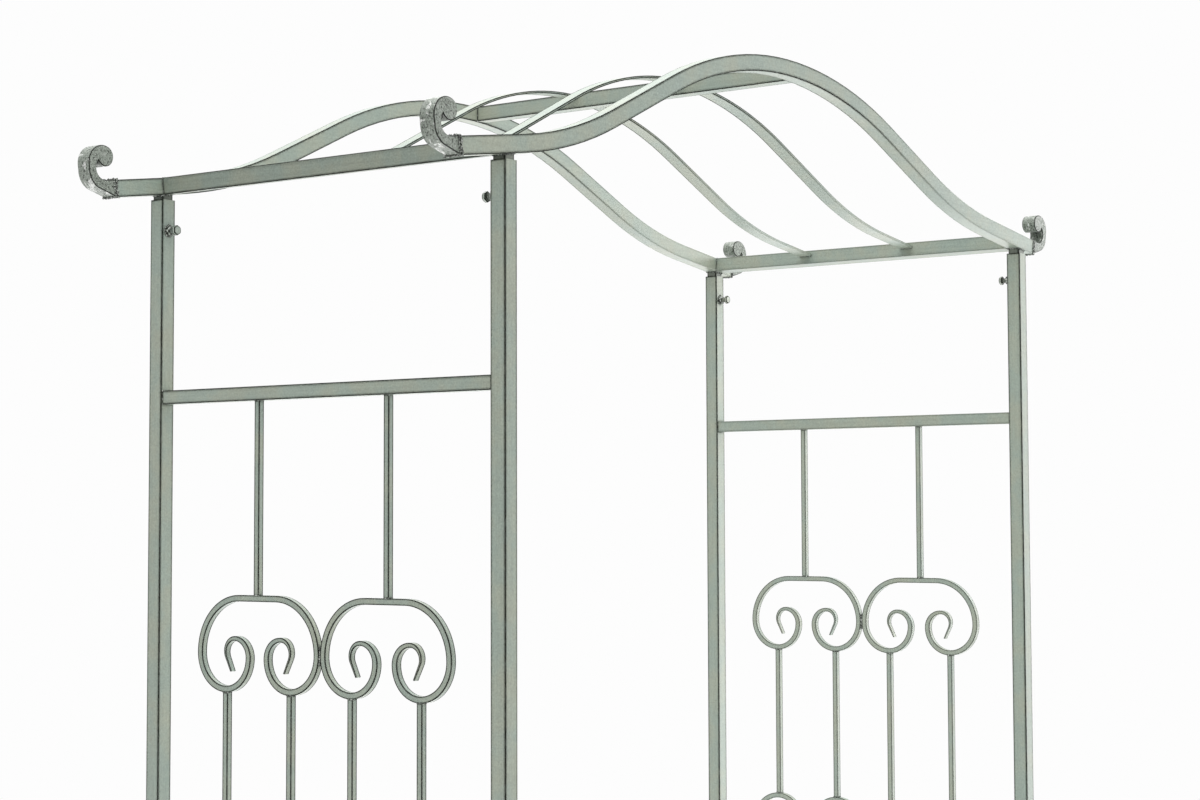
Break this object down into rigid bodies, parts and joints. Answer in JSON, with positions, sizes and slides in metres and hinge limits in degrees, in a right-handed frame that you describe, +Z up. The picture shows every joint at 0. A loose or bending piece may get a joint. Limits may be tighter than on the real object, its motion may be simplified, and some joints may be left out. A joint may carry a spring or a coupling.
{
  "type": "garden arch",
  "caption": "Free-standing metal garden arch with ornamental scrollwork side panels and a pagoda roof frame whose beam ends are cast scrolls.",
  "frame": {"origin": "on the ground, level with the undersides of the four foot caps, under the middle of the whole length of the roof: the left eaves reach further out than the right ones, so the middle of the walk-through is at x = 0.03", "axes": "+X across the walk-through, from the left side panel to the right one as seen in the picture; +Y along the walk-through, away from the viewer; +Z up"},
  "size_m": [1.6876, 0.667, 2.2099],
  "materials": {
    "painted_steel": "weathered matte grey-green paint with dark edges",
    "painted_cast_iron": "rough casting under the same worn grey-green paint",
    "black_plastic": "matte black"
  },
  "bodies": {
    "side_panels": {"left_front_post": "painted_steel", "left_front_foot_cap": "black_plastic", "left_back_post": "painted_steel", "left_back_foot_cap": "black_plastic", "left_top_rail": "painted_steel", "left_bottom_rail": "painted_steel", "left_front_upper_picket": "painted_steel", "left_back_upper_picket": "painted_steel", "left_front_upper_scroll": "painted_steel", "left_back_upper_scroll": "painted_steel", "left_middle_picket_1": "painted_steel", "left_middle_picket_2": "painted_steel", "left_middle_picket_3": "painted_steel", "left_middle_picket_4": "painted_steel", "left_front_lower_scroll": "painted_steel", "left_back_lower_scroll": "painted_steel", "left_front_bottom_picket": "painted_steel", "left_back_bottom_picket": "painted_steel", "left_clamp_nuts": "painted_steel", "right_front_post": "painted_steel", "right_front_foot_cap": "black_plastic", "right_back_post": "painted_steel", "right_back_foot_cap": "black_plastic", "right_top_rail": "painted_steel", "right_bottom_rail": "painted_steel", "right_front_upper_picket": "painted_steel", "right_back_upper_picket": "painted_steel", "right_front_upper_scroll": "painted_steel", "right_back_upper_scroll": "painted_steel", "right_middle_picket_1": "painted_steel", "right_middle_picket_2": "painted_steel", "right_middle_picket_3": "painted_steel", "right_middle_picket_4": "painted_steel", "right_front_lower_scroll": "painted_steel", "right_back_lower_scroll": "painted_steel", "right_front_bottom_picket": "painted_steel", "right_back_bottom_picket": "painted_steel", "right_clamp_nuts": "painted_steel"},
    "roof": {"front_roof_beam": "painted_steel", "back_roof_beam": "painted_steel", "left_eave_tie": "painted_steel", "right_eave_tie": "painted_steel", "ridge_tie": "painted_steel", "left_front_slat": "painted_steel", "left_front_beam_end": "painted_cast_iron", "left_front_spigot": "painted_steel", "left_back_slat": "painted_steel", "left_back_beam_end": "painted_cast_iron", "left_back_spigot": "painted_steel", "right_front_slat": "painted_steel", "right_front_beam_end": "painted_cast_iron", "right_front_spigot": "painted_steel", "right_back_slat": "painted_steel", "right_back_beam_end": "painted_cast_iron", "right_back_spigot": "painted_steel"},
    "left_front_clamp_bolt": {"left_front_clamp_bolt": "painted_steel"},
    "left_back_clamp_bolt": {"left_back_clamp_bolt": "painted_steel"},
    "right_front_clamp_bolt": {"right_front_clamp_bolt": "painted_steel"},
    "right_back_clamp_bolt": {"right_back_clamp_bolt": "painted_steel"}
  },
  "joints": [
    {"name": "roof_lift", "type": "slide", "parent": "side_panels", "child": "roof", "axis": [0, 0, 1], "range_m": [0, 0.08]},
    {"name": "left_front_clamp_screw", "type": "slide", "parent": "side_panels", "child": "left_front_clamp_bolt", "axis": [0, 1, 0], "range_m": [0, 0.006]},
    {"name": "left_back_clamp_screw", "type": "slide", "parent": "side_panels", "child": "left_back_clamp_bolt", "axis": [0, -1, 0], "range_m": [0, 0.006]},
    {"name": "right_front_clamp_screw", "type": "slide", "parent": "side_panels", "child": "right_front_clamp_bolt", "axis": [0, 1, 0], "range_m": [0, 0.006]},
    {"name": "right_back_clamp_screw", "type": "slide", "parent": "side_panels", "child": "right_back_clamp_bolt", "axis": [0, -1, 0], "range_m": [0, 0.006]}
  ]
}
